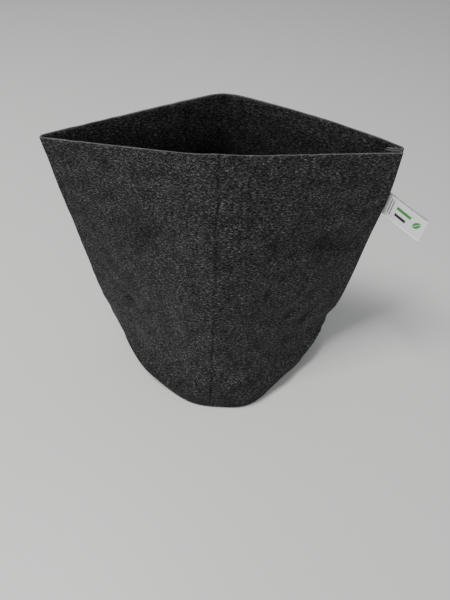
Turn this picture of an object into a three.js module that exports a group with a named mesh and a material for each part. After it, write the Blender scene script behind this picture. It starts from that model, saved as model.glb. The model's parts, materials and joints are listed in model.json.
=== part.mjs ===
// A fabric grow bag: one strip of thick needle-punched felt sewn into a tube, a felt disc sewn in
// as its base, and a folded ribbon label caught in the side seam. Millimetres, +Z up. The origin is
// the centre of the base on the floor, +X points to the side seam, and -Y is the front.
//
// The bag was folded flat along four vertical creases, so from a round base it rises to a mouth
// shaped like a lozenge: its corners are the side seam and the fold opposite, and the front and
// back centre creases are its short diagonal.
import * as THREE from "three";
import { mergeVertices } from "three/addons/utils/BufferGeometryUtils.js";

// Driving dimensions.
const BASE_RADIUS = 105;
const RIM_HEIGHT = 274; // at the front and back centre creases
const SEAM_DROP = 13; // how much lower the rim is at the side seam
const FOLD_DROP = 19; // and at the fold opposite
const MOUTH_HALF_DEPTH = 52; // from the middle of the mouth to a centre crease
const MOUTH_SHIFT_X = -2.3; // the mouth leans a little to the left of the base
const MOUTH_SHIFT_Y = 4; // and a little to the back
const BELLY = 0.05; // share by which the wall stands out above the base seam
const BELLY_HEIGHT = 52; // where it stands out most
const FELT = 2.4; // felt thickness
const ALLOWANCE = 12; // seam allowance, turned to the inside
const RIBBON = 0.3; // label ribbon thickness
const LABEL_LENGTH = 47;
const LABEL_WIDTH = 22.8;
const LABEL_HEIGHT = 202; // of the label's middle above the floor
const LABEL_SWING = 57; // degrees that the label stands out of the seam's plane, to the front
const THREAD = 0.3; // thickness of a seam's thread as it lies on the felt
const THREAD_WIDTH = 0.8;
const STITCH_INSET = 2; // from the turned edge of the felt to the middle of the stitching
const CLEARANCE = 0.3; // between two pieces that touch

// Worked out from them.
const QUARTER = (Math.PI * BASE_RADIUS) / 2; // felt between two neighbouring creases
const TURN_GAP = THREAD + 2 * CLEARANCE; // inside a felt fold that hides a thread
const TURN_RADIUS = FELT + TURN_GAP / 2; // outside radius of such a fold
const HEM_RADIUS = FELT + TURN_GAP; // of the wall's fold on the floor, looser than the side seam's
const SEAM_GAP = RIBBON + 2 * CLEARANCE; // between the two allowances, where the label is held
const SEAM_START = 2 * QUARTER - TURN_RADIUS - SEAM_GAP / 2; // where the felt starts to turn in
const SEAM_END = SEAM_START + (TURN_RADIUS * Math.PI * 3) / 4;
const STRIP_END = SEAM_END + ALLOWANCE;
const FOLD_ARC = 5; // half the felt length that goes round the side fold
const CREASE_ARC = 3; // half the felt length that goes round a centre crease
const RING_HEIGHT = 14; // the base seam holds the wall round up to here
const FLATTEN_LENGTH = 27; // height over which the wall goes from round to lozenge above the ring
const FLATTEN_START = 8; // height over which that change sets in

const { PI, asin, cos, exp, max, min, sin } = Math;
const { clamp, degToRad, lerp } = THREE.MathUtils;

// 0 up to the top of the base seam, 1 at the rim.
const rise = (height) => max(height - RING_HEIGHT, 0) / (RIM_HEIGHT - RING_HEIGHT);

// 0 where the wall is round, 1 where it is a lozenge.
function flatness(height) {
  const above = max(height - RING_HEIGHT, 0);
  const start = 1 - exp(-above / FLATTEN_START);
  return (1 - exp(-above / FLATTEN_LENGTH)) * start;
}

// 0 where the strip's ends just meet, in the base seam, 1 where they are fully turned in.
const turnedIn = (height) => clamp((height - RING_HEIGHT) / ALLOWANCE, 0, 1);

// Angle from +X in which half the outline runs at a distance along the felt from the side fold.
// The half outline goes from the fold on the left, over a centre crease, to the seam on the right.
function heading(along, height) {
  const halfDepth = lerp(BASE_RADIUS, MOUTH_HALF_DEPTH, rise(height));
  const left = asin(halfDepth / QUARTER);
  const seamHalf = TURN_RADIUS * (1 + cos(left)) + SEAM_GAP / 2;
  const right = -asin((halfDepth - seamHalf) / (SEAM_START - QUARTER));
  const round = PI / 2 - min(along / BASE_RADIUS, PI);
  const beforeSeam = lerp(round, along < QUARTER ? left : right, flatness(height));
  if (along > SEAM_START) {
    const turn = min((along - SEAM_START) / (SEAM_END - SEAM_START), 1);
    return lerp(beforeSeam, -PI, turn * turnedIn(height));
  }
  const fromCrease = along - QUARTER;
  let lozenge = along < QUARTER ? left : right;
  if (along < FOLD_ARC) lozenge = lerp(PI / 2, left, along / FOLD_ARC);
  if (Math.abs(fromCrease) < CREASE_ARC) {
    lozenge = lerp(left, right, 0.5 + fromCrease / (2 * CREASE_ARC));
  }
  return lerp(round, lozenge, flatness(height));
}

// Even stations from one distance to another, without the first.
const stations = (from, to, count) =>
  Array.from({ length: count }, (_, i) => lerp(from, to, (i + 1) / count));

const COLUMNS = [
  0,
  ...stations(0, FOLD_ARC, 3),
  ...stations(FOLD_ARC, QUARTER - CREASE_ARC, 9),
  ...stations(QUARTER - CREASE_ARC, QUARTER + CREASE_ARC, 4),
  ...stations(QUARTER + CREASE_ARC, SEAM_START, 9),
  ...stations(SEAM_START, SEAM_END, 5),
  ...stations(SEAM_END, STRIP_END, 2),
];

// Share of its full length that the felt has past the seam, where the base seam trims it.
function shareKept(along, height) {
  if (along <= SEAM_START) return 1;
  const turned = turnedIn(height);
  if (along > SEAM_END) return max(2 * turned - 1, 0);
  return lerp(TURN_RADIUS / (SEAM_END - SEAM_START), 1, turned);
}

// Half the outline of the felt's outer face at one height: a point and an inward direction for
// each of COLUMNS, with the centre crease at x = 0 and the seam's plane at y = 0.
const outlines = new Map();
function halfOutline(height) {
  if (outlines.has(height)) return outlines.get(height);
  const points = [{ x: 0, y: 0 }];
  for (let i = 1; i < COLUMNS.length; i++) {
    const last = points[i - 1];
    const step = (COLUMNS[i] - COLUMNS[i - 1]) * shareKept(COLUMNS[i], height);
    const mid = heading((COLUMNS[i] + COLUMNS[i - 1]) / 2, height);
    points.push({ x: last.x + step * cos(mid), y: last.y + step * sin(mid) });
  }
  const crease = points[COLUMNS.findIndex((along) => along >= QUARTER)];
  const end = points[points.length - 1];
  const fit = (crease.y - SEAM_GAP / 2) / (crease.y - end.y);
  const outline = points.map(({ x, y }, i) => {
    const angle = heading(COLUMNS[i], height);
    return {
      x: x - crease.x,
      y: COLUMNS[i] > QUARTER ? SEAM_GAP / 2 + (y - end.y) * fit : y,
      inX: sin(angle),
      inY: -cos(angle),
    };
  });
  outlines.set(height, outline);
  return outline;
}

// How much lower the felt hangs towards the two corners of the mouth than at its centre creases.
function cornerDrop(along, height) {
  const share = clamp(Math.abs(along - QUARTER) / QUARTER, 0, 1);
  return share * flatness(height) * (along < QUARTER ? FOLD_DROP : SEAM_DROP);
}

// How much the wall stands out sideways above the stiff base seam.
function belly(height) {
  const above = max(height - RING_HEIGHT, 0) / (BELLY_HEIGHT - RING_HEIGHT);
  return 1 + BELLY * above * above * exp(1 - above * above);
}

// A point at a depth inside the felt's outer face. side is 1 for the back half and -1 for the front.
function wallPoint(column, side, height, depth, z = height) {
  const at = halfOutline(height)[column];
  return new THREE.Vector3(
    at.x * belly(height) + at.inX * depth + MOUTH_SHIFT_X * rise(height),
    side * (at.y + at.inY * depth) + MOUTH_SHIFT_Y * rise(height),
    z - cornerDrop(COLUMNS[column], height),
  );
}

// Bends a box whose segments are one unit long, so that its corners go where place(i, j, k) says,
// and leaves out the faces that close up to nothing.
function bentBox(countX, countY, countZ, place) {
  const box = new THREE.BoxGeometry(countX, countY, countZ, countX, countY, countZ);
  box.translate(countX / 2, countY / 2, countZ / 2);
  const position = box.getAttribute("position");
  for (let n = 0; n < position.count; n++) {
    const corner = [position.getX(n), position.getY(n), position.getZ(n)].map(Math.round);
    const point = place(...corner);
    position.setXYZ(n, point.x, point.y, point.z);
  }
  box.deleteAttribute("normal");
  box.deleteAttribute("uv");
  const merged = mergeVertices(box, 1e-4);
  const kept = [];
  const index = merged.getIndex().array;
  for (let n = 0; n < index.length; n += 3) {
    const [a, b, c] = index.slice(n, n + 3);
    if (a !== b && b !== c && c !== a) kept.push(a, b, c);
  }
  merged.setIndex(kept);
  merged.computeVertexNormals();
  return merged;
}

// The wall's section from the raw edge of its hem, round the fold on the floor, to the rim. Each
// row gives the outline's height, and how deep and how high the outer and inner faces are.
function wallRows() {
  const face = (depth, z) => ({ depth, z });
  const rows = [];
  for (const z of [RING_HEIGHT - 1, HEM_RADIUS + 4]) {
    rows.push({ height: z, faces: [face(2 * HEM_RADIUS, z), face(2 * HEM_RADIUS - FELT, z)] });
  }
  const TURN_STEPS = 6;
  for (let i = 0; i <= TURN_STEPS; i++) {
    const angle = (PI * i) / TURN_STEPS;
    const faces = [HEM_RADIUS, HEM_RADIUS - FELT].map((radius) =>
      face(HEM_RADIUS + radius * cos(angle), HEM_RADIUS - radius * sin(angle)),
    );
    rows.push({ height: HEM_RADIUS, faces });
  }
  const lower = stations(HEM_RADIUS, RING_HEIGHT + ALLOWANCE, 4);
  const middle = stations(RING_HEIGHT + ALLOWANCE, 95, 7);
  const upper = stations(95, RIM_HEIGHT, 8);
  for (const z of [...lower, ...middle, ...upper]) {
    rows.push({ height: z, faces: [face(0, z), face(FELT, z)] });
  }
  return rows;
}

function wallGeometry() {
  const rows = wallRows();
  const half = COLUMNS.length - 1;
  return bentBox(2 * half, rows.length - 1, 1, (i, j, k) => {
    const { height, faces } = rows[j];
    const { depth, z } = faces[k];
    return wallPoint(Math.abs(i - half), i < half ? -1 : 1, height, depth, z);
  });
}

// The base disc, its edge turned up inside the wall's hem to make the other half of the base seam.
const FLANGE_RADIUS = BASE_RADIUS - 2 * HEM_RADIUS - 3 * CLEARANCE;
function baseGeometry() {
  const outer = FLANGE_RADIUS;
  const inner = FLANGE_RADIUS - FELT;
  const bend = 4;
  const profile = [new THREE.Vector2(0, 0)];
  const arc = (radius, from, to, steps) => {
    for (let i = 0; i <= steps; i++) {
      const angle = lerp(from, to, i / steps);
      profile.push(new THREE.Vector2(outer - bend + radius * cos(angle), bend + radius * sin(angle)));
    }
  };
  arc(bend, -PI / 2, 0, 3);
  profile.push(new THREE.Vector2(outer, RING_HEIGHT - 1));
  profile.push(new THREE.Vector2(inner, RING_HEIGHT - 1));
  arc(bend - FELT, 0, -PI / 2, 3);
  profile.push(new THREE.Vector2(0, FELT));
  const dish = new THREE.LatheGeometry(profile, 72);
  dish.rotateX(PI / 2);
  return dish;
}

const BASE_SEAM_HEIGHT = RING_HEIGHT - 5;

// One thread of the base seam: a flat ring, at a radius measured to its middle.
function baseThread(radius) {
  const corners = [[-1, -1], [1, -1], [1, 1], [-1, 1], [-1, -1]];
  const profile = corners.map(
    ([x, y]) => new THREE.Vector2(radius + (x * THREAD) / 2, BASE_SEAM_HEIGHT + (y * THREAD_WIDTH) / 2),
  );
  const ring = new THREE.LatheGeometry(profile, 72);
  ring.rotateX(PI / 2);
  return ring;
}

// One thread of the side seam, on the inner face of one allowance, close to the turn.
function sideThread(side) {
  const column = COLUMNS.indexOf(SEAM_END);
  const depth = FELT + CLEARANCE + THREAD / 2;
  const bottom = RING_HEIGHT + ALLOWANCE + 4;
  const points = stations(bottom, RIM_HEIGHT - 2, 14).map((height) => {
    const point = wallPoint(column, side, height, depth);
    point.x -= STITCH_INSET;
    return point;
  });
  const section = new THREE.Shape([
    new THREE.Vector2(-THREAD / 2, -THREAD_WIDTH / 2),
    new THREE.Vector2(THREAD / 2, -THREAD_WIDTH / 2),
    new THREE.Vector2(THREAD / 2, THREAD_WIDTH / 2),
    new THREE.Vector2(-THREAD / 2, THREAD_WIDTH / 2),
  ]);
  const extrudePath = new THREE.CatmullRomCurve3(points);
  return new THREE.ExtrudeGeometry(section, { steps: 20, extrudePath });
}

// A point on the seam's plane, out from the stitched line by a distance and off the plane by depth.
function seamPoint(height, out, depth) {
  const tip = wallPoint(COLUMNS.indexOf(SEAM_END), 1, height, 0);
  return new THREE.Vector3(tip.x + out, MOUTH_SHIFT_Y * rise(height) + depth, tip.z);
}

const HINGE_OUT = TURN_RADIUS + 3; // the label bends here, a little outside the felt
const LABEL_LOW = LABEL_HEIGHT + SEAM_DROP - LABEL_WIDTH / 2;

// The ribbon's two ends, one on the other, held between the allowances.
function labelEndsGeometry() {
  return bentBox(2, 4, 1, (i, j, k) => {
    const height = LABEL_LOW + (LABEL_WIDTH * j) / 4;
    const out = lerp(2 - ALLOWANCE, HINGE_OUT - 1, i / 2);
    return seamPoint(height, out, RIBBON * (0.5 - k));
  });
}

// The rest of the ribbon: out from the seam, round its folded end and back, drawn from above.
function labelLoopGeometry() {
  const half = 0.55; // half the label's thickness over both layers
  const start = 0.5;
  const end = LABEL_LENGTH - half;
  const outline = new THREE.Shape();
  outline.moveTo(start, -half);
  outline.lineTo(end, -half);
  outline.absarc(end, 0, half, -PI / 2, PI / 2, false);
  outline.lineTo(start, half);
  outline.lineTo(start, half - RIBBON);
  outline.lineTo(end, half - RIBBON);
  outline.absarc(end, 0, half - RIBBON, PI / 2, -PI / 2, true);
  outline.lineTo(start, RIBBON - half);
  outline.closePath();
  const settings = { depth: LABEL_WIDTH, bevelEnabled: false, curveSegments: 6 };
  const loop = new THREE.ExtrudeGeometry(outline, settings);
  loop.translate(0, 0, -LABEL_WIDTH / 2);
  return loop;
}

// Stands the label loop on its bending line, which leans with the seam.
function placeLabelLoop(loop) {
  const low = seamPoint(LABEL_LOW, HINGE_OUT, 0);
  const high = seamPoint(LABEL_LOW + LABEL_WIDTH, HINGE_OUT, 0);
  const up = high.clone().sub(low).normalize();
  const outward = new THREE.Vector3(1, 0, 0).projectOnPlane(up).normalize();
  outward.applyAxisAngle(up, -degToRad(LABEL_SWING));
  const across = up.clone().cross(outward);
  loop.quaternion.setFromRotationMatrix(new THREE.Matrix4().makeBasis(outward, across, up));
  loop.position.copy(low.add(high).multiplyScalar(0.5));
}

const finish = (color, roughness) =>
  new THREE.MeshStandardMaterial({ color, roughness, metalness: 0 });
const FELT_GREY = 0x2c2d2f;
const THREAD_BLACK = 0x161617;
const SATIN_WHITE = 0xe9e9e6;

function named(name, geometry, material) {
  const mesh = new THREE.Mesh(geometry, material);
  mesh.name = name;
  return mesh;
}

function makeBag() {
  const bag = new THREE.Group();
  bag.add(named("wall_panel", wallGeometry(), finish(FELT_GREY, 0.95)));
  bag.add(named("base_disc", baseGeometry(), finish(FELT_GREY, 0.95)));
  bag.add(named("side_seam_needle_thread", sideThread(-1), finish(THREAD_BLACK, 0.6)));
  bag.add(named("side_seam_bobbin_thread", sideThread(1), finish(THREAD_BLACK, 0.6)));
  // The needle thread lies inside the base's turned-up edge, the bobbin thread between wall and hem.
  const needleRadius = FLANGE_RADIUS - FELT - CLEARANCE - THREAD / 2;
  const bobbinRadius = BASE_RADIUS - HEM_RADIUS;
  bag.add(named("base_seam_needle_thread", baseThread(needleRadius), finish(THREAD_BLACK, 0.6)));
  bag.add(named("base_seam_bobbin_thread", baseThread(bobbinRadius), finish(THREAD_BLACK, 0.6)));

  bag.add(named("label_sewn_ends", labelEndsGeometry(), finish(SATIN_WHITE, 0.5)));
  const loop = named("label_loop", labelLoopGeometry(), finish(SATIN_WHITE, 0.5));
  placeLabelLoop(loop);
  bag.add(loop);
  return bag;
}

export default makeBag();
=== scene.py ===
# A fabric grow bag in dark needle-punched felt: a wall strip sewn into a tube, a sewn-in base and a
# ribbon label in the side seam. Metres, +Z up, +X to the side seam, -Y to the front.
import json
import math

import bpy
import numpy as np
from mathutils import Matrix, Vector


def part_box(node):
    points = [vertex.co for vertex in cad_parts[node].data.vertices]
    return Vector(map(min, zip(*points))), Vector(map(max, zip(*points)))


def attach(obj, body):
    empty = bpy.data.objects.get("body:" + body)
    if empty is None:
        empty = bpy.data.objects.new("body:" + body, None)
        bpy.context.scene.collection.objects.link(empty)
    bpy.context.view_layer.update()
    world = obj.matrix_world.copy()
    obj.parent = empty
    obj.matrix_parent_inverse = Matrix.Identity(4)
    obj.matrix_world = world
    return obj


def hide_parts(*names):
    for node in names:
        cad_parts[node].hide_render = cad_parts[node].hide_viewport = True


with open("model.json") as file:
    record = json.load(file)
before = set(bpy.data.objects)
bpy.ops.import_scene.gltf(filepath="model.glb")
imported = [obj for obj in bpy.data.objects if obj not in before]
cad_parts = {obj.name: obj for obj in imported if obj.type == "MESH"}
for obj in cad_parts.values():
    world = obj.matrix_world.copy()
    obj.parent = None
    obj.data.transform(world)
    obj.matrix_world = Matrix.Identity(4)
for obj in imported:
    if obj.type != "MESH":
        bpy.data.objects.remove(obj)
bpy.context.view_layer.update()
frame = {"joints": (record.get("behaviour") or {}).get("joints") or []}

MM = 0.001

# ---------------------------------------------------------------- driving dimensions
BASE_RADIUS = 105 * MM
RIM_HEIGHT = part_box("wall_panel")[1].z
FELT = 2.4 * MM
ALLOWANCE = 12 * MM  # felt past the side seam
MOUTH_HALF_DEPTH = 54.7 * MM
MOUTH_SHIFT = (-2.9 * MM, 4.9 * MM)  # of the mouth from straight above the base
SEAM_DROP = 19 * MM  # how much lower the rim is at the side seam than at the centre creases
FOLD_DROP = 19 * MM  # and at the fold opposite
RING_HEIGHT = 14 * MM  # the base seam keeps the wall round up to here
QUARTER = math.pi / 2 * BASE_RADIUS  # felt between two neighbouring creases
TURN_RADIUS = FELT + 0.45 * MM  # outside radius of the felt's turn at the side seam
HEM_RADIUS = FELT + 0.9 * MM  # and of its turn at the floor
SEAM_GAP = 0.9 * MM  # between the side seam's two allowances, where the label is held
TURN_ANGLE = 0.95 * math.pi  # how far round the felt turns at the side seam
SEAM_START = 2 * QUARTER - TURN_RADIUS - SEAM_GAP / 2
SEAM_END = SEAM_START + TURN_RADIUS * TURN_ANGLE
STRIP_END = SEAM_END + ALLOWANCE  # half the length of the wall's strip
RIM_ROUND = 0.5 * MM  # how far the felt's rounded edge rises above its faces
RING_INSET = 1 * MM  # from the raw edges of the hem and the base up to RING_HEIGHT


# ---------------------------------------------------------------- small helpers
def smooth(t):
    """From 0 to 1 with no corner at either end."""
    t = np.clip(t, 0, 1)
    return t * t * (3 - 2 * t)


def mix(a, b, t):
    return a + (b - a) * t


def lattice_noise(u, v, size, seed):
    """Smooth noise between -1 and 1 over a surface, with features about as large as size."""
    u, v = np.broadcast_arrays(u / size, v / size)
    column, row = np.floor(u).astype(int), np.floor(v).astype(int)
    column_base, row_base = column.min(), row.min()
    shape = (row.max() - row_base + 2, column.max() - column_base + 2)
    values = np.random.default_rng(seed).uniform(-1, 1, shape)
    a, b = smooth(u - column), smooth(v - row)
    i, j = row - row_base, column - column_base
    low = mix(values[i, j], values[i, j + 1], a)
    high = mix(values[i + 1, j], values[i + 1, j + 1], a)
    return mix(low, high, b)


def unit(vectors):
    return vectors / np.maximum(np.linalg.norm(vectors, axis=-1, keepdims=True), 1e-12)


def make_object(name, points, faces, uvs=None):
    """A smooth mesh object. uvs, the sheet's flat coordinates, holds one pair for each point."""
    mesh = bpy.data.meshes.new(name)
    mesh.from_pydata([tuple(p) for p in points], [], [tuple(f) for f in faces])
    if uvs is not None:
        corner = np.zeros(len(mesh.loops), np.int32)
        mesh.loops.foreach_get("vertex_index", corner)
        layer = mesh.uv_layers.new(name="flat")
        layer.data.foreach_set("uv", np.asarray(uvs, np.float32)[corner].ravel())
    mesh.polygons.foreach_set("use_smooth", [True] * len(mesh.polygons))
    mesh.validate()
    made = bpy.data.objects.new(name, mesh)
    bpy.context.scene.collection.objects.link(made)
    return made


def quads(rows, columns, wrap_rows=False, wrap_columns=False):
    """Faces over a grid of points held row by row, going on round where it wraps."""
    faces = []
    for i in range(rows if wrap_rows else rows - 1):
        row, after = i * columns, (i + 1) % rows * columns
        for j in range(columns if wrap_columns else columns - 1):
            k = (j + 1) % columns
            faces.append((row + j, row + k, after + k, after + j))
    return faces


def closed_sheet(name, loop, uvs):
    """A closed mesh from an even number of rows of points, which run up one face of a sheet and
    down the other."""
    count, columns = loop.shape[:2]
    faces = quads(count, columns, wrap_rows=True)
    last = columns - 1
    for i in range(count // 2 - 1):
        a, b = i * columns, (i + 1) * columns
        c, d = (count - 2 - i) * columns, (count - 1 - i) * columns
        faces.append((d, c, b, a))
        faces.append((a + last, b + last, c + last, d + last))
    return make_object(name, loop.reshape(-1, 3), faces, uvs.reshape(-1, 2))


def run_length(points):
    """Distance along a line of points, at each of them."""
    steps = np.linalg.norm(np.diff(points, axis=0), axis=1)
    return np.concatenate([[0], np.cumsum(steps)])


# ---------------------------------------------------------------- the felt's shape
FLATTEN_LENGTH = 27 * MM  # over this height the round foot gives way to the pointed oval
FLATTEN_START = 8 * MM  # and over this one it starts to, without a kink
FOLD_ARC = 5 * MM  # felt bent round each side of the fold
CREASE_BLUNT = 0.06  # rounds the rim off at its centre creases
SEAM_SKEW = 1.2 * MM  # the back half reaches further at the seam than the front, at the rim
ALLOWANCE_LIE = 0.15  # both allowances lie towards the back by this angle

# What sets the front half of the wall (-1) apart from the back half (1): how much felt bends round
# each side of the centre crease, and how much its left and right panels bow out, as angles.
HALVES = {
    -1: {"crease_arc": 40 * MM, "bow_left": 0.015, "bow_right": 0.0},
    1: {"crease_arc": 14 * MM, "bow_left": 0.01, "bow_right": 0.15},
}

# How far out the fold and the side seam stand at each height: a flare above the base seam, over a
# height of its own, a slower lean out to the mouth, and swells and pinches given by the height of
# their middle, their half height and how far out they go.
FOLD_REACH = {
    "flare": 23.4 * MM,
    "from": 3.3 * MM,
    "over": 23 * MM,
    "lean": 27.6 * MM,
    "curve": 1,
    "swells": [(60 * MM, 10 * MM, -1.3 * MM), (32 * MM, 8 * MM, 1.3 * MM)],
}
SEAM_REACH = {
    "flare": 25.2 * MM,
    "from": 10.5 * MM,
    "over": 45 * MM,
    "lean": 23.6 * MM,
    "curve": 0.8,
    "swells": [
        (232 * MM, 38 * MM, 3.1 * MM),
        (62 * MM, 13 * MM, -4.4 * MM),
    ],
}

# Where the floor and the stiff base seam press the ring out of round: azimuth and width in
# degrees, and how far out (in, where negative).
RING_PUSHES = [
    (-15, 16, 4.7 * MM),
    (-43, 20, -4.9 * MM),
    (-72, 15, 5.5 * MM),
    (-101, 14, 2.5 * MM),
    (-128, 16, -2.4 * MM),
    (-152, 14, -3.4 * MM),
]
RING_PUSH_TOP = 75 * MM

# Dents and swellings of the front, in millimetres: distance along the felt from the fold, height
# of the middle, half width, half height, tilt in degrees, and how far out (in, where negative).
SCULPTED = [
    (52, 99, 13, 6.5, -28, -4.2),
    (34, 79, 26, 2.6, -14, -1.4),
    (38, 73, 26, 3, -14, 1.2),
    (44, 67, 22, 2.6, -14, -1.1),
    (76, 54, 15, 11, -20, 2.6),
    (250, 99, 12, 4.5, 30, -2.4),
    (262, 94, 10, 4, 30, 1.5),
    (274, 86, 12, 4.5, 30, -2.6),
    (288, 82, 10, 4, 30, 1.8),
    (298, 35, 28, 3.5, 25, 3.6),
    (240, 17, 28, 4, 20, 2.4),
    (300, 26, 34, 5, 25, -3.0),
    (240, 8, 34, 5, 15, -3.0),
    (275, 180, 48, 14, -9, -3.2),
    (90, 190, 30, 20, 30, -2.6),
]


def rise(height):
    """0 at the top of the base seam's ring, 1 at the rim."""
    return np.maximum(height - RING_HEIGHT, 0) / (RIM_HEIGHT - RING_HEIGHT)


def flatness(height):
    """0 where the wall is round, 1 where it is a pointed oval."""
    above = np.maximum(height - RING_HEIGHT, 0)
    return (1 - np.exp(-above / FLATTEN_LENGTH)) * (1 - np.exp(-above / FLATTEN_START))


def reach(corner, height):
    """How far out FOLD_REACH or SEAM_REACH stands at each height."""
    flare = 1 - np.exp(-np.maximum(height - corner["from"], 0) / corner["over"])
    lean = (height / RIM_HEIGHT) ** corner["curve"]
    out = BASE_RADIUS + corner["flare"] * flare + corner["lean"] * lean
    for middle, half, amount in corner["swells"]:
        out += amount * np.exp(-(((height - middle) / half) ** 2))
    return out


def turned_in(height):
    """0 where the strip's ends just meet, in the base seam, 1 where they are fully turned in."""
    return np.clip((height - RING_HEIGHT) / ALLOWANCE, 0, 1)


def heading(along, height, side):
    """Direction in which half the outline runs, by distance along the felt from the side fold."""
    half = HALVES[side]
    half_depth = mix(BASE_RADIUS, MOUTH_HALF_DEPTH, rise(height))
    left = np.arcsin(half_depth / QUARTER)
    seam_half = TURN_RADIUS * (1 + np.cos(left)) + SEAM_GAP / 2
    right = -np.arcsin((half_depth - seam_half) / (SEAM_START - QUARTER))
    round_ = math.pi / 2 - np.minimum(along / BASE_RADIUS, math.pi)
    flat = flatness(height)

    on_left = np.clip(along / QUARTER, 0, 1)
    on_right = np.clip((along - QUARTER) / (SEAM_START - QUARTER), 0, 1)
    left_panel = left + half["bow_left"] * (1 - 2 * on_left)
    right_panel = right + half["bow_right"] * (1 - 2 * on_right)
    arc = half["crease_arc"]
    lozenge = mix(left_panel, right_panel, smooth((along - QUARTER + arc) / (2 * arc)))
    lozenge = mix(math.pi / 2, lozenge, smooth(along / FOLD_ARC))
    angle = mix(round_, lozenge, flat)

    lie = -side * ALLOWANCE_LIE
    turn = np.clip((along - SEAM_START) / (SEAM_END - SEAM_START), 0, 1)
    arriving = mix(round_, right - half["bow_right"], flat)
    turning = mix(arriving, lie - math.pi, turn * turned_in(height))
    return np.where(along > SEAM_START, turning, angle)


def kept_share(along, height):
    """Share of its length that the felt has past the seam, where the base seam trims it."""
    turned = turned_in(height)
    in_turn = mix(TURN_RADIUS / (SEAM_END - SEAM_START), 1, turned)
    share = np.where(along <= SEAM_END, in_turn, np.maximum(2 * turned - 1, 0))
    return np.where(along <= SEAM_START, 1, share)


def half_outline(along, height, side):
    """x and y of half the outline, a row for each height and a column for each distance."""
    middle = (along[1:] + along[:-1]) / 2
    step = np.diff(along) * kept_share(along[1:], height[:, None])
    angle = heading(middle[None, :], height[:, None], side)
    start = np.zeros((len(height), 1))
    x = np.concatenate([start, np.cumsum(step * np.cos(angle), 1)], 1)
    y = np.concatenate([start, np.cumsum(step * np.sin(angle), 1)], 1)
    crease_y = y[:, column_at(QUARTER)][:, None]
    seam_y = y[:, column_at(SEAM_END)][:, None]
    fit = (crease_y - SEAM_GAP / 2) / (crease_y - seam_y)
    return x, np.where(along > QUARTER, SEAM_GAP / 2 + (y - seam_y) * fit, y)


def corner_drop(along, height):
    """How much lower the felt lies towards the fold and the seam than at the centre creases."""
    share = np.sqrt(((along - QUARTER) / QUARTER) ** 2 + CREASE_BLUNT**2) - CREASE_BLUNT
    share = np.clip(share / (1 - CREASE_BLUNT), 0, 1)
    return share * flatness(height) * np.where(along < QUARTER, FOLD_DROP, SEAM_DROP)


def spread(x, along, height, side):
    """Half the outline's x, stretched either side of the centre crease to the corners' reaches.
    The felt's turn at the side seam is not stretched."""
    crease = x[:, column_at(QUARTER)][:, None]
    start = x[:, column_at(SEAM_START)][:, None]
    turn = x.max(axis=1)[:, None] - start
    left = reach(FOLD_REACH, height)[:, None] / crease
    tip = reach(SEAM_REACH, height) + TURN_RADIUS * turned_in(height)
    tip += side * SEAM_SKEW * rise(height) ** 4
    right = (tip[:, None] - turn) / (start - crease)
    inside = (x - crease) * np.where(x < crease, left, right)
    beyond = (start - crease) * right + (x - start)
    return np.where(along > SEAM_START, beyond, inside)


def wall_surface(along, height):
    """Points of the felt's outer face: a row for each height, and columns from the front half's
    raw edge round the fold to the back half's."""
    z = height[:, None] - corner_drop(along[None, :], height[:, None])
    up = rise(height)[:, None]
    columns = []
    for side in (-1, 1):
        x, y = half_outline(along, height, side)
        x = spread(x, along, height, side) + MOUTH_SHIFT[0] * up
        points = np.stack([x, side * y + MOUTH_SHIFT[1] * up, z], -1)
        columns.append(points[:, ::-1] if side < 0 else points[:, 1:])
    return np.concatenate(columns, 1)


def push_ring(points):
    """The points with the base's ring pressed out of round, less and less up the wall."""
    azimuth = np.degrees(np.arctan2(points[..., 1], points[..., 0]))
    radius = np.hypot(points[..., 0], points[..., 1])
    out = np.zeros_like(radius)
    for middle, width, amount in RING_PUSHES:
        out += amount * np.exp(-(((azimuth - middle) / width) ** 2))
    out *= np.minimum(radius / BASE_RADIUS, 1) ** 3 * smooth(1 - points[..., 2] / RING_PUSH_TOP)
    moved = points.copy()
    moved[..., :2] *= (1 + out / np.maximum(radius, MM))[..., None]
    return moved


def sculpt(signed, height):
    """How far each point of the front's felt is pushed out."""
    out = np.zeros(np.broadcast(signed, height).shape)
    for along, middle, wide, tall, tilt, amount in SCULPTED:
        across, up = -signed - along * MM, height - middle * MM
        c, s = math.cos(math.radians(tilt)), math.sin(math.radians(tilt))
        a, b = (across * c + up * s) / (wide * MM), (up * c - across * s) / (tall * MM)
        out += amount * MM * np.exp(-(a**2) - b**2)
    return out


def outward_normals(points):
    """Normals of the outer face, away from the inside of the bag."""
    across = np.gradient(points, axis=1)
    up = np.gradient(points, axis=0)
    return unit(np.cross(up, across))


def stations(*stretches):
    """Distances from 0 through stretches of (end, spacing)."""
    made, start = [0.0], 0.0
    for end, spacing in stretches:
        count = max(1, round((end - start) / spacing))
        made += list(np.linspace(start, end, count + 1)[1:])
        start = end
    return np.array(made)


ALONG = stations(
    (2 * FOLD_ARC, 0.8 * MM),
    (QUARTER - 6 * MM, 2.3 * MM),
    (QUARTER - 1.5 * MM, 1.1 * MM),
    (QUARTER, 0.4 * MM),
    (QUARTER + 1.5 * MM, 0.4 * MM),
    (QUARTER + 6 * MM, 1.1 * MM),
    (SEAM_START - 5 * MM, 2.3 * MM),
    (SEAM_START, 1 * MM),
    (SEAM_END, 0.6 * MM),
    (STRIP_END, 1.5 * MM),
)
SIGNED = np.concatenate([-ALONG[::-1], ALONG[1:]])  # below 0 on the front half
WALL_Z = np.linspace(HEM_RADIUS, RIM_HEIGHT - RIM_ROUND, 114)
HEM_ROW = 1.2 * MM  # flat distance between two rows of the hem
INNER_FACE = 0.4  # added to the flat height on the felt's inner face, so that its pattern differs
RIM_SECTION = ((0.12, 0.7), (0.35, 1), (0.65, 1), (0.88, 0.7))  # shares of FELT and of RIM_ROUND
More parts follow.
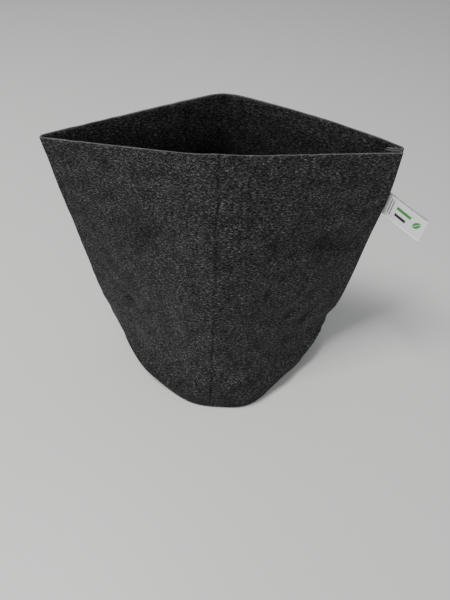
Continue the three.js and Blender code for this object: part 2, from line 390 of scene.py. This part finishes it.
RIM_V = RIM_HEIGHT + np.array([0.2, 0.4, 0.6, 0.8]) * MM  # their flat heights, the rim's alone


def column_at(along):
    """The column of ALONG at a distance that is one of its stretches' ends."""
    return np.searchsorted(ALONG, along - 1e-9)


def hem_section():
    """Depth and height of the wall's outer and inner face, row by row, from the hem's raw edge to
    the start of the wall, round the fold on the floor."""
    rows = []
    for z in np.linspace(RING_HEIGHT - RING_INSET, HEM_RADIUS, 5)[:-1]:
        rows.append(((2 * HEM_RADIUS, z), (2 * HEM_RADIUS - FELT, z)))
    for angle in np.linspace(0, math.pi, 11)[:-1]:
        faces = []
        for radius in (HEM_RADIUS, HEM_RADIUS - FELT):
            out, down = radius * math.cos(angle), radius * math.sin(angle)
            faces.append((HEM_RADIUS + out, HEM_RADIUS - down))
        rows.append(tuple(faces))
    return rows


def felt_relief(signed, height, seed):
    """Unevenness of a needle-punched face."""
    coarse = lattice_noise(signed, height, 23 * MM, seed) * 0.35 * MM
    middle = lattice_noise(signed, height, 8 * MM, seed + 1) * 0.14 * MM
    fine = lattice_noise(signed, height, 3 * MM, seed + 2) * 0.09 * MM
    return coarse + middle + fine


def felt_faces(signed, height):
    """Points of the wall's outer and inner face, dented and uneven, but even where it is sewn.
    Then the lowest row before it is made uneven, and the directions into the bag there."""
    bent = push_ring(wall_surface(ALONG, WALL_Z))
    settled = smooth((height - RING_HEIGHT / 2) / RING_HEIGHT)
    free = settled * smooth((SEAM_START - 4 * MM - np.abs(signed)) / (8 * MM))
    points = bent + outward_normals(bent) * (sculpt(signed, height) * free)[..., None]
    normals = outward_normals(points)
    outer = points + normals * (felt_relief(signed, height, 11) * free)[..., None]
    inner_relief = felt_relief(signed, height, 31) * free * 0.6
    inner = points - normals * (FELT + inner_relief)[..., None]
    return outer, inner, points[:1], -normals[:1]


def hem_rows(ring, inward):
    """Rows of the hem's outer and inner face, from its raw edge round to the wall's lowest row."""
    inward = unit(inward * np.array([1, 1, 0]))
    faces = ([], [])
    for places in hem_section():
        for rows, (depth, z) in zip(faces, places):
            row = ring + inward * depth
            row[..., 2] = z
            rows.append(row)
    return faces


def rim_rows(outer, inner, signed):
    """Rows over the felt's cut edge, rounded and a little wavy."""
    wave = lattice_noise(signed, WALL_Z[:1, None], 9 * MM, 51) * 0.25 * MM
    rows = []
    for across, lift in RIM_SECTION:
        row = mix(outer[-1:], inner[-1:], across)
        row[..., 2] += lift * RIM_ROUND + wave
        rows.append(row)
    return rows


def build_wall():
    signed, height = SIGNED[None, :], WALL_Z[:, None]
    outer, inner, ring, inward = felt_faces(signed, height)
    hem_outer, hem_inner = hem_rows(ring, inward)
    rim = rim_rows(outer, inner, signed)
    loop = np.concatenate([*hem_outer, outer, *rim, inner[::-1], *hem_inner[::-1]])
    hem_v = (np.arange(len(hem_outer)) - len(hem_outer)) * HEM_ROW
    outer_v = np.concatenate([hem_v, WALL_Z])
    v = np.concatenate([outer_v, RIM_V, outer_v[::-1] + INNER_FACE])
    uvs = np.stack(np.broadcast_arrays(signed, v[:, None]), -1)
    return closed_sheet("felt_wall", loop, uvs)


# ---------------------------------------------------------------- the base
FLANGE_RADIUS = BASE_RADIUS - 2 * HEM_RADIUS - 0.9 * MM  # inside the hem
BASE_BEND = 4 * MM  # outside radius of the bend up to the flange
BASE_SWELL = 0.8 * MM  # how far the middle of the base stands up
BASE_COLUMNS = 240


def base_profile(depth):
    """Radius and height along the dish at a depth in from its outer face: floor, bend, flange."""
    centre, radius = FLANGE_RADIUS - BASE_BEND, BASE_BEND - depth
    points = [(r, depth) for r in np.linspace(0, centre, 26)]
    for angle in np.linspace(-math.pi / 2, 0, 6)[1:]:
        points.append((centre + radius * math.cos(angle), BASE_BEND + radius * math.sin(angle)))
    for z in np.linspace(BASE_BEND, RING_HEIGHT - RING_INSET, 5)[1:]:
        points.append((FLANGE_RADIUS - depth, z))
    return np.array(points)


def base_swelling(x, y, on_top):
    """How far the base's upper face stands above flat, inside the flange."""
    floor = smooth((FLANGE_RADIUS - 3 * MM - np.hypot(x, y)) / (10 * MM)) * on_top
    coarse = lattice_noise(x, y, 31 * MM, 71) * 1.0 * MM
    fine = lattice_noise(x, y, 7 * MM, 72) * 0.15 * MM
    return (coarse + fine + BASE_SWELL) * floor


def build_base():
    """Rings of points over the dish's profile, closed by a point at each pole."""
    under, top = base_profile(0), base_profile(FELT)
    lip = mix(under[-1:], top[-1:], np.array([[0.3], [0.7]]))
    lip[:, 1] += 0.3 * MM
    profile = np.concatenate([under, lip, top[::-1]])
    turn = np.linspace(0, 2 * math.pi, BASE_COLUMNS + 1)[:-1]
    radius, z = profile[1:-1, :1], profile[1:-1, 1:]
    rings = np.stack(np.broadcast_arrays(radius * np.cos(turn), radius * np.sin(turn), z), -1)
    on_top = (np.arange(len(rings)) >= len(under) + 1)[:, None]
    rings[..., 2] += base_swelling(rings[..., 0], rings[..., 1], on_top)
    rings = push_ring(rings)
    points = np.concatenate([rings.reshape(-1, 3), [[0, 0, 0], [0, 0, FELT + BASE_SWELL]]])

    faces = quads(len(rings), BASE_COLUMNS, wrap_columns=True)
    low_pole = len(rings) * BASE_COLUMNS
    last = low_pole - BASE_COLUMNS
    for j in range(BASE_COLUMNS):
        k = (j + 1) % BASE_COLUMNS
        faces.append((low_pole, k, j))
        faces.append((low_pole + 1, last + j, last + k))

    run = run_length(profile)[1:-1, None]
    run = np.where(on_top, run[-1] - run, run)
    flat = np.stack([run * np.cos(turn), run * np.sin(turn)], -1)
    uvs = np.concatenate([flat.reshape(-1, 2), np.zeros((2, 2))])
    return make_object("felt_base", points, faces, uvs)


# ---------------------------------------------------------------- seams
THREAD = 0.35 * MM  # how thick a thread lies, pressed flat on the felt
THREAD_WIDTH = 0.8 * MM
THREAD_DIP = 1.1 * MM  # into the felt at each hole
THREAD_SIDES = 8
STITCH = 4 * MM
STITCH_STEPS = 8
STITCH_INSET = 2 * MM  # from the felt's turn to the side seam's stitching
BASE_SEAM_HEIGHT = RING_HEIGHT - 5 * MM
SIDE_SEAM = (34 * MM, RIM_HEIGHT - 4 * MM)


def stitched_thread(name, surface, inward, closed):
    """One thread of a row of lockstitches. surface are points along the felt's face, STITCH_STEPS
    to a stitch, and inward their directions into the felt, where the thread dips at each hole."""
    count = len(surface)
    phase = np.arange(count) * 2 * math.pi / STITCH_STEPS
    hole = (0.5 * (1 + np.cos(phase))) ** 6
    middle = surface - inward * (THREAD / 2 - hole * THREAD_DIP)[:, None]
    if closed:
        ahead = unit(np.roll(middle, -1, 0) - np.roll(middle, 1, 0))
    else:
        ahead = unit(np.gradient(middle, axis=0))
    across = unit(np.cross(ahead, inward))
    out = np.cross(across, ahead)
    angle = np.arange(THREAD_SIDES) * 2 * math.pi / THREAD_SIDES
    ring_a = np.cos(angle)[None, :, None] * across[:, None] * THREAD_WIDTH / 2
    ring_b = np.sin(angle)[None, :, None] * out[:, None] * THREAD / 2
    points = (middle[:, None] + ring_a + ring_b).reshape(-1, 3)
    faces = quads(count, THREAD_SIDES, wrap_rows=closed, wrap_columns=True)
    if not closed:
        faces.append(tuple(range(THREAD_SIDES))[::-1])
        faces.append(tuple((count - 1) * THREAD_SIDES + j for j in range(THREAD_SIDES)))
    length = np.arange(count) * STITCH / STITCH_STEPS
    uvs = np.stack(np.broadcast_arrays(length[:, None], angle[None, :]), -1)
    made = make_object(name, points, faces, uvs.reshape(-1, 2))
    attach(made, "bag")
    return made


def side_seam_thread(name, side):
    """Runs down the inner face of one allowance."""
    stitches = round((SIDE_SEAM[1] - SIDE_SEAM[0]) / STITCH)
    height = np.linspace(*SIDE_SEAM, stitches * STITCH_STEPS + 1)
    points = push_ring(wall_surface(ALONG, height))
    normals = outward_normals(points)
    column = len(ALONG) - 1 + side * column_at(SEAM_END + STITCH_INSET)
    face = points[:, column] - normals[:, column] * FELT
    return stitched_thread(name, face, normals[:, column], closed=False)


def base_seam_thread(name, radius, facing):
    """A ring of stitches. facing is 1 on a face that looks in to the middle, -1 on one looking out."""
    stitches = round(2 * math.pi * radius / STITCH)
    turn = np.linspace(0, 2 * math.pi, stitches * STITCH_STEPS + 1)[:-1]
    out = np.stack([np.cos(turn), np.sin(turn), np.zeros_like(turn)], 1)
    face = push_ring(out * radius + np.array([0, 0, BASE_SEAM_HEIGHT]))
    return stitched_thread(name, face, out * facing, closed=True)


# ---------------------------------------------------------------- label
LABEL_JOINT = next(j for j in frame["joints"] if j["name"] == "label_swing")
LABEL_PLACE = np.array(LABEL_JOINT["pos_m"])
LABEL_UP = unit(np.array(LABEL_JOINT["axis"]))
LABEL_LENGTH = 47 * MM
LABEL_WIDTH = 22.8 * MM
LABEL_SWING = math.radians(57)  # out of the seam's plane, to the front
RIBBON = 0.3 * MM
LAYER_OFFSET = 0.17 * MM  # of each sewn end from the middle of the seam's gap
LOOP_START = 0.5 * MM  # from the line that the loop swings about
UNPRINTED = 0.4  # added to the flat length where the ribbon carries no print


def label_axes():
    """Directions along the label and out of its printed face."""
    level = unit(np.array([1, 0, 0]) - LABEL_UP * LABEL_UP[0])
    side = np.cross(LABEL_UP, level)
    along = level * math.cos(LABEL_SWING) - side * math.sin(LABEL_SWING)
    return along, np.cross(along, LABEL_UP)


def ribbon(name, centre, body, blank=0.0):
    """A ribbon along a centre line, its width along LABEL_UP, with a thinner selvedge. The centre
    line's first half carries the print on its outer face, unless blank is UNPRINTED."""
    width = np.linspace(-0.5, 0.5, 15) * LABEL_WIDTH
    rows = centre[:, None] + LABEL_UP * width[None, :, None]
    normals = unit(np.cross(np.gradient(rows, axis=0), np.gradient(rows, axis=1)))
    selvedge = np.abs(width) > 0.46 * LABEL_WIDTH
    half_thickness = RIBBON * np.where(selvedge, 0.35, 0.5)[None, :, None]
    loop = np.concatenate([rows + normals * half_thickness, (rows - normals * half_thickness)[::-1]])
    run = run_length(centre)
    run = np.concatenate([run + blank, run[::-1] + UNPRINTED])
    uvs = np.stack(np.broadcast_arrays(run[:, None], width[None, :]), -1)
    made = closed_sheet(name, loop, uvs)
    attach(made, body)
    return made


def build_label_loop():
    """Out from the seam, round its folded end and back, a little open and a little curled."""
    along, face = label_axes()
    t = np.linspace(0, 1, 41)
    half_gap = 0.2 * MM + 0.1 * MM * smooth(t * 1.4)
    curl = 1.3 * MM * np.sin(t * math.pi * 0.9) * t
    length = LABEL_LENGTH - half_gap[-1]
    out = LOOP_START + (length - LOOP_START) * t
    front = np.stack([out, curl + half_gap], 1)
    back = np.stack([out, curl - half_gap], 1)[::-1]
    turn = np.linspace(math.pi / 2, -math.pi / 2, 9)[1:-1]
    end = np.stack([np.cos(turn), np.sin(turn)], 1) * half_gap[-1] + [length, curl[-1]]
    path = np.concatenate([front, end, back])
    centre = LABEL_PLACE + path[:, :1] * along + path[:, 1:] * face
    return ribbon("ribbon_loop", centre, "label")


def build_label_ends():
    """The ribbon's two ends, pressed together between the seam allowances."""
    points = wall_surface(ALONG, LABEL_PLACE[2:] + SEAM_DROP)[0]
    middle = len(ALONG) - 1
    inside = []
    for distance in np.linspace(ALLOWANCE - 3 * MM, 0, 8):
        column = column_at(SEAM_END + distance)
        inside.append((points[middle - column] + points[middle + column]) / 2)
    inside = np.array(inside)
    inside[:, 2] = LABEL_PLACE[2]
    outside = [mix(inside[-1], LABEL_PLACE, share) for share in (0.5, 0.92)]
    path = np.concatenate([inside, outside])
    offset = np.array([0, LAYER_OFFSET, 0])
    return [
        ribbon("ribbon_end_front", path - offset, "bag", UNPRINTED),
        ribbon("ribbon_end_back", path + offset, "bag", UNPRINTED),
    ]


# ---------------------------------------------------------------- materials
class Nodes:
    """Short calls for the nodes of one material."""

    def __init__(self, name):
        self.material = bpy.data.materials.new(name)
        self.material.use_nodes = True
        self.tree = self.material.node_tree
        self.shader = self.tree.nodes["Principled BSDF"]

    def put(self, socket, value):
        if isinstance(value, bpy.types.NodeSocket):
            self.tree.links.new(value, socket)
        else:
            socket.default_value = value

    def math(self, operation, *values, clamp=False):
        node = self.tree.nodes.new("ShaderNodeMath")
        node.operation = operation
        node.use_clamp = clamp
        for socket, value in zip(node.inputs, values):
            self.put(socket, value)
        return node.outputs[0]

    def uv(self):
        node = self.tree.nodes.new("ShaderNodeUVMap")
        node.uv_map = "flat"
        return node.outputs[0]

    def split(self, vector):
        node = self.tree.nodes.new("ShaderNodeSeparateXYZ")
        self.put(node.inputs[0], vector)
        return node.outputs[0], node.outputs[1]

    def noise(self, vector, scale=(1, 1, 1), turn=0, size=1000, detail=2.0, rough=0.5):
        """Noise over vector, its features 1/size long before scale squeezes or stretches them."""
        place = self.tree.nodes.new("ShaderNodeMapping")
        self.put(place.inputs["Vector"], vector)
        place.inputs["Rotation"].default_value = (0, 0, math.radians(turn))
        squeeze = self.tree.nodes.new("ShaderNodeMapping")
        self.put(squeeze.inputs["Vector"], place.outputs[0])
        squeeze.inputs["Scale"].default_value = scale
        node = self.tree.nodes.new("ShaderNodeTexNoise")
        self.put(node.inputs["Vector"], squeeze.outputs[0])
        node.inputs["Scale"].default_value = size
        node.inputs["Detail"].default_value = detail
        node.inputs["Roughness"].default_value = rough
        return node.outputs[0]

    def spot(self, vector, middle, radii, turn):
        """1 at the middle of an ellipse, fading to 0 at its edge."""
        place = self.tree.nodes.new("ShaderNodeMapping")
        place.vector_type = "TEXTURE"
        self.put(place.inputs["Vector"], vector)
        place.inputs["Location"].default_value = (*middle, 0)
        place.inputs["Rotation"].default_value = (0, 0, math.radians(turn))
        place.inputs["Scale"].default_value = (*radii, 1)
        node = self.tree.nodes.new("ShaderNodeTexGradient")
        node.gradient_type = "QUADRATIC_SPHERE"
        self.put(node.inputs[0], place.outputs[0])
        return node.outputs[1]

    def gray(self, value):
        node = self.tree.nodes.new("ShaderNodeCombineColor")
        for socket in node.inputs:
            self.put(socket, value)
        return node.outputs[0]

    def ramp(self, value, *stops):
        node = self.tree.nodes.new("ShaderNodeValToRGB")
        elements = node.color_ramp.elements
        while len(elements) < len(stops):
            elements.new(1)
        for element, (place, color) in zip(elements, stops):
            element.position = place
            element.color = (*color, 1)
        self.put(node.inputs[0], value)
        return node.outputs[0]

    def mix(self, share, a, b, blend="MIX"):
        node = self.tree.nodes.new("ShaderNodeMix")
        node.data_type = "RGBA"
        node.blend_type = blend
        colors = [socket for socket in node.inputs if socket.type == "RGBA"]
        self.put(node.inputs[0], share)
        for socket, value in zip(colors, (a, b)):
            self.put(socket, value if isinstance(value, bpy.types.NodeSocket) else (*value, 1))
        return next(socket for socket in node.outputs if socket.type == "RGBA")

    def band(self, value, low, high, soft):
        """1 where value is between low and high, with soft edges."""
        rising = self.math("DIVIDE", self.math("SUBTRACT", value, low), soft, clamp=True)
        falling = self.math("DIVIDE", self.math("SUBTRACT", high, value), soft, clamp=True)
        return self.math("MULTIPLY", rising, falling)

    def bump(self, height, distance, strength=1.0):
        node = self.tree.nodes.new("ShaderNodeBump")
        node.inputs["Strength"].default_value = strength
        node.inputs["Distance"].default_value = distance
        self.put(node.inputs["Height"], height)
        self.put(self.shader.inputs["Normal"], node.outputs[0])


def finish(nodes, color, roughness, specular, sheen, sheen_roughness=0.5):
    """The material, with its surface set."""
    nodes.put(nodes.shader.inputs["Base Color"], color)
    nodes.shader.inputs["Roughness"].default_value = roughness
    nodes.shader.inputs["Specular IOR Level"].default_value = specular
    nodes.shader.inputs["Sheen Weight"].default_value = sheen
    nodes.shader.inputs["Sheen Roughness"].default_value = sheen_roughness
    return nodes.material


FELT_DARK = (0.0015, 0.0015, 0.0016)
FELT_MID = (0.011, 0.011, 0.0112)
FELT_LIGHT = (0.052, 0.052, 0.053)
FELT_FLECK = (0.17, 0.17, 0.172)
CUT_EDGE = (0.11, 0.11, 0.115)
THREAD_DARK = (0.006, 0.006, 0.007)
THREAD_LIGHT = (0.03, 0.03, 0.032)
SATIN_LOW = (0.82, 0.82, 0.82)
SATIN_HIGH = (0.93, 0.93, 0.93)
PRINT_DARK = (0.03, 0.032, 0.035)
PRINT_GREEN = (0.05, 0.3, 0.07)


def felt_fibres(n, uv):
    """Matted fibres, most of them lying along the strip, as a value around 0.5."""
    along = n.noise(uv, (0.3, 1, 1), 2, 900, 3, 0.65)
    left = n.noise(uv, (0.35, 1, 1), 28, 900, 3, 0.65)
    right = n.noise(uv, (0.35, 1, 1), -25, 860, 3, 0.65)
    grain = n.noise(uv, (0.8, 1, 1), 0, 1200, 2, 0.6)
    crossing = n.math("MULTIPLY", n.math("ADD", left, right), 0.3)
    strands = n.math("ADD", n.math("MULTIPLY", along, 0.4), crossing)
    return n.math("ADD", n.math("MULTIPLY", strands, 0.7), n.math("MULTIPLY", grain, 0.3))


def felt_color(n, uv, fibres):
    """The fibres' colours, from the gaps between them to the palest, under larger dim patches."""
    color = n.ramp(
        fibres, (0.41, FELT_DARK), (0.485, FELT_MID), (0.545, FELT_LIGHT), (0.62, FELT_FLECK)
    )
    patches = n.noise(uv, (0.8, 1, 1), 15, 75, 5, 0.7)
    shade = n.ramp(patches, (0.3, (0.5, 0.5, 0.5)), (0.7, (1.6, 1.6, 1.6)))
    return n.mix(1.0, color, shade, "MULTIPLY")


def wall_material():
    """Felt with a pale cut edge, painted shade along the pressed crease, and painted shade and
    highlight over its relief.
    """
    n = Nodes("wall felt")
    uv = n.uv()
    u, v = n.split(uv)
    fibres = felt_fibres(n, uv)
    color = felt_color(n, uv, fibres)
    rim = n.band(v, RIM_HEIGHT + 0.1 * MM, RIM_HEIGHT + 0.9 * MM, 0.1 * MM)
    edge = n.math("GREATER_THAN", n.math("ABSOLUTE", u), STRIP_END - 0.1 * MM)
    cut = n.math("MAXIMUM", rim, edge)
    color = n.mix(n.math("MULTIPLY", cut, 0.55), color, CUT_EDGE)
    # painted shade: a dark line along the front's centre crease
    color = n.mix(n.math("MULTIPLY", painted_crease_shade(n, u, v), 0.6), color, FELT_DARK)
    # painted highlight on the relief's swellings, painted shade in its hollows and towards the floor
    color = n.mix(1.0, color, painted_shade_and_highlight(n, uv, v), "MULTIPLY")
    n.bump(fibres, 0.8 * MM, 0.8)
    return finish(n, color, 1.0, 0.1, 0.03)


CREASE_LEAN = 6 * MM  # how far left of the rim's crease the mark is at the floor
CREASE_WAVER = 7 * MM
CREASE_HALF_WIDTH = 1.8 * MM
CREASE_SOFT = 1.2 * MM


def painted_crease_shade(n, u, v):
    """Painted shade of the front's pressed centre crease: a thin dark line, wavering, that leans left
    to the floor.
    """
    waver = n.noise(n.uv(), (0.001, 1, 1), 0, 40, 3, 0.6)
    lean = n.math("MULTIPLY", n.math("SUBTRACT", v, RIM_HEIGHT), CREASE_LEAN / RIM_HEIGHT)
    place = n.math("ADD", n.math("ADD", u, QUARTER), lean)
    waver = n.math("MULTIPLY", n.math("SUBTRACT", waver, 0.5), CREASE_WAVER)
    place = n.math("ADD", place, waver)
    breaks = n.noise(n.uv(), (0.4, 1, 1), 0, 260, 3, 0.7)
    broken = n.math("MULTIPLY", n.math("SUBTRACT", breaks, 0.35), 5, clamp=True)
    line = n.band(place, -CREASE_HALF_WIDTH, CREASE_HALF_WIDTH, CREASE_SOFT)
    return n.math("MULTIPLY", line, broken)


# Painted highlight on the swellings of SCULPTED, painted shade in its hollows and towards the floor.
SPOT_SPREAD = 1.7  # how far out a shaded spot ends, in half widths of its dent
SHADE_PER_MM = 0.17
DARKEST_SHADE = 0.4
FOOT_SHADE = 0.6  # at the floor, rising to 1 at FOOT_SHADE_TOP
FOOT_SHADE_TOP = 60 * MM


def painted_shade_and_highlight(n, uv, v):
    """A multiplier for the felt's colour, which helps its relief to show: paler on the swellings of
    SCULPTED as painted highlight, darker in its hollows and towards the floor as painted shade."""
    shade = 1.0
    for along, height, wide, tall, tilt, amount in SCULPTED:
        radii = (SPOT_SPREAD * wide * MM, SPOT_SPREAD * tall * MM)
        spot = n.spot(uv, (-along * MM, height * MM), radii, -tilt)
        shade = n.math("MULTIPLY_ADD", spot, SHADE_PER_MM * amount, shade)
    foot_slope = (1 - FOOT_SHADE) / FOOT_SHADE_TOP
    foot = n.math("MULTIPLY_ADD", v, foot_slope, FOOT_SHADE, clamp=True)
    shade = n.math("MULTIPLY", n.math("MAXIMUM", shade, DARKEST_SHADE), foot)
    return n.gray(shade)


def base_material():
    n = Nodes("base felt")
    uv = n.uv()
    fibres = felt_fibres(n, uv)
    n.bump(fibres, 0.9 * MM, 0.8)
    return finish(n, felt_color(n, uv, fibres), 1.0, 0.1, 0.03)


THREAD_TWIST = 9000  # radians in a metre


def thread_material():
    """Dark sewing thread, its twist as slanting bands."""
    n = Nodes("thread")
    u, around = n.split(n.uv())
    turns = n.math("ADD", n.math("MULTIPLY", u, THREAD_TWIST), n.math("MULTIPLY", around, 2))
    twist = n.math("SINE", turns)
    lit = n.math("MULTIPLY_ADD", twist, 0.5, 0.5)
    color = n.ramp(lit, (0, THREAD_DARK), (1, THREAD_LIGHT))
    n.bump(twist, 0.05 * MM)
    return finish(n, color, 0.5, 0.5, 0.1)


def ribbon_material():
    """White satin with a plain print: two border lines, two bars and a leaf."""
    n = Nodes("satin ribbon")
    u, w = n.split(n.uv())
    picks = n.math("SINE", n.math("MULTIPLY", u, 2 * math.pi / (0.35 * MM)))
    ends = n.math("SINE", n.math("MULTIPLY", w, 2 * math.pi / (0.22 * MM)))
    weave = n.math("ADD", n.math("MULTIPLY", picks, 0.6), n.math("MULTIPLY", ends, 0.4))
    color = n.ramp(n.math("MULTIPLY_ADD", weave, 0.5, 0.5), (0, SATIN_LOW), (1, SATIN_HIGH))
    soft = 0.25 * MM
    first = n.band(u, 4.5 * MM, 5.6 * MM, soft)
    second = n.band(u, 7.2 * MM, 8.3 * MM, soft)
    inside = n.band(w, -7.5 * MM, 7.5 * MM, soft)
    lines = n.math("MULTIPLY", n.math("MAXIMUM", first, second), inside)
    lower_rows = n.band(w, -5.4 * MM, -2.2 * MM, soft)
    lower = n.math("MULTIPLY", n.band(u, 13 * MM, 27 * MM, soft), lower_rows)
    upper_rows = n.band(w, 1.4 * MM, 4.6 * MM, soft)
    upper = n.math("MULTIPLY", n.band(u, 13 * MM, 31 * MM, soft), upper_rows)
    dark = n.math("MAXIMUM", lines, lower)
    green = n.math("MAXIMUM", upper, leaf_mask(n, u, w))
    color = n.mix(dark, color, PRINT_DARK)
    color = n.mix(green, color, PRINT_GREEN)
    n.bump(weave, 0.03 * MM)
    return finish(n, color, 0.38, 0.5, 0.15, 0.3)


def leaf_mask(n, u, w):
    """A pointed leaf, where two circles cross, with a pale midrib."""
    across = n.math("SUBTRACT", u, 38.5 * MM)
    along = n.math("SUBTRACT", w, 0.5 * MM)
    a = n.math("MULTIPLY", n.math("ADD", across, along), math.sqrt(0.5))
    b = n.math("MULTIPLY", n.math("SUBTRACT", along, across), math.sqrt(0.5))
    inside = []
    for side in (-1, 1):
        off = n.math("ADD", b, side * 3.4 * MM)
        squares = n.math("ADD", n.math("MULTIPLY", a, a), n.math("MULTIPLY", off, off))
        inside.append(n.math("LESS_THAN", n.math("SQRT", squares), 6.2 * MM))
    rib = n.math("GREATER_THAN", n.math("ABSOLUTE", b), 0.22 * MM)
    return n.math("MULTIPLY", n.math("MULTIPLY", *inside), rib)


# ---------------------------------------------------------------- putting it together
def place_felt(piece, node, material):
    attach(piece, "bag")
    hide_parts(node)
    piece.data.materials.append(material)


def make_bag():
    """The wall and the base."""
    wall = build_wall()
    place_felt(wall, "wall_panel", wall_material())
    base = build_base()
    place_felt(base, "base_disc", base_material())


def make_seams():
    """Two threads for each seam: the needle's on one side of the felt, the bobbin's on the other."""
    needle_radius = FLANGE_RADIUS - FELT
    bobbin_radius = BASE_RADIUS - 2 * HEM_RADIUS + FELT
    threads = {
        "side_seam_needle_thread": side_seam_thread("side_needle_stitches", -1),
        "side_seam_bobbin_thread": side_seam_thread("side_bobbin_stitches", 1),
        "base_seam_needle_thread": base_seam_thread("base_needle_stitches", needle_radius, 1),
        "base_seam_bobbin_thread": base_seam_thread("base_bobbin_stitches", bobbin_radius, -1),
    }
    material = thread_material()
    for node, thread in threads.items():
        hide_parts(node)
        thread.data.materials.append(material)


def make_label():
    """The ribbon: its free loop, and its two ends in the side seam."""
    material = ribbon_material()
    loop = build_label_loop()
    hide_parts("label_loop")
    ends = build_label_ends()
    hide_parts("label_sewn_ends")
    for piece in [loop, *ends]:
        piece.data.materials.append(material)


make_bag()
make_seams()
make_label()


# ---------------------------------------------------------------- camera, light and floor
def make_camera():
    """Looks down at the bag's front, tipped a little to the side."""
    pitch, roll = math.radians(47.85), math.radians(2.17)
    location = Vector((0.056, -3.374, 4.297)) * BASE_RADIUS
    forward = Vector((0, math.cos(pitch), -math.sin(pitch)))
    level_right = Vector((1, 0, 0))
    level_up = Vector((0, math.sin(pitch), math.cos(pitch)))
    right = math.cos(roll) * level_right + math.sin(roll) * level_up
    up = -math.sin(roll) * level_right + math.cos(roll) * level_up
    data = bpy.data.cameras.new("camera")
    data.lens = 27
    data.sensor_width = 36
    camera = bpy.data.objects.new("camera", data)
    axes = Matrix((right, up, -forward)).transposed().to_4x4()
    camera.matrix_world = Matrix.Translation(location) @ axes
    bpy.context.scene.collection.objects.link(camera)
    bpy.context.scene.camera = camera


def make_light(name, location, size, power):
    """A square light that faces the bag's foot."""
    data = bpy.data.lights.new(name, "AREA")
    data.energy = power
    data.size = size
    light = bpy.data.objects.new(name, data)
    light.location = location
    light.rotation_euler = (-Vector(location)).to_track_quat("-Z", "Y").to_euler()
    bpy.context.scene.collection.objects.link(light)


def make_floor():
    size = 6  # half its width
    corners = [(-size, -size, 0), (size, -size, 0), (size, size, 0), (-size, size, 0)]
    floor = make_object("floor", corners, [(0, 1, 2, 3)])
    material = bpy.data.materials.new("floor")
    material.use_nodes = True
    shader = material.node_tree.nodes["Principled BSDF"]
    shader.inputs["Base Color"].default_value = (0.58, 0.58, 0.56, 1)
    shader.inputs["Roughness"].default_value = 0.5
    floor.data.materials.append(material)


def make_world():
    world = bpy.data.worlds.new("studio")
    world.use_nodes = True
    background = world.node_tree.nodes["Background"]
    background.inputs["Color"].default_value = (0.8, 0.82, 0.85, 1)
    background.inputs["Strength"].default_value = 0.5
    bpy.context.scene.world = world


make_camera()
make_floor()
make_light("key", (-0.8, -0.3, 2.1), 0.7, 54)
make_light("fill", (0.9, -2.4, 1.0), 1.2, 20)
make_world()
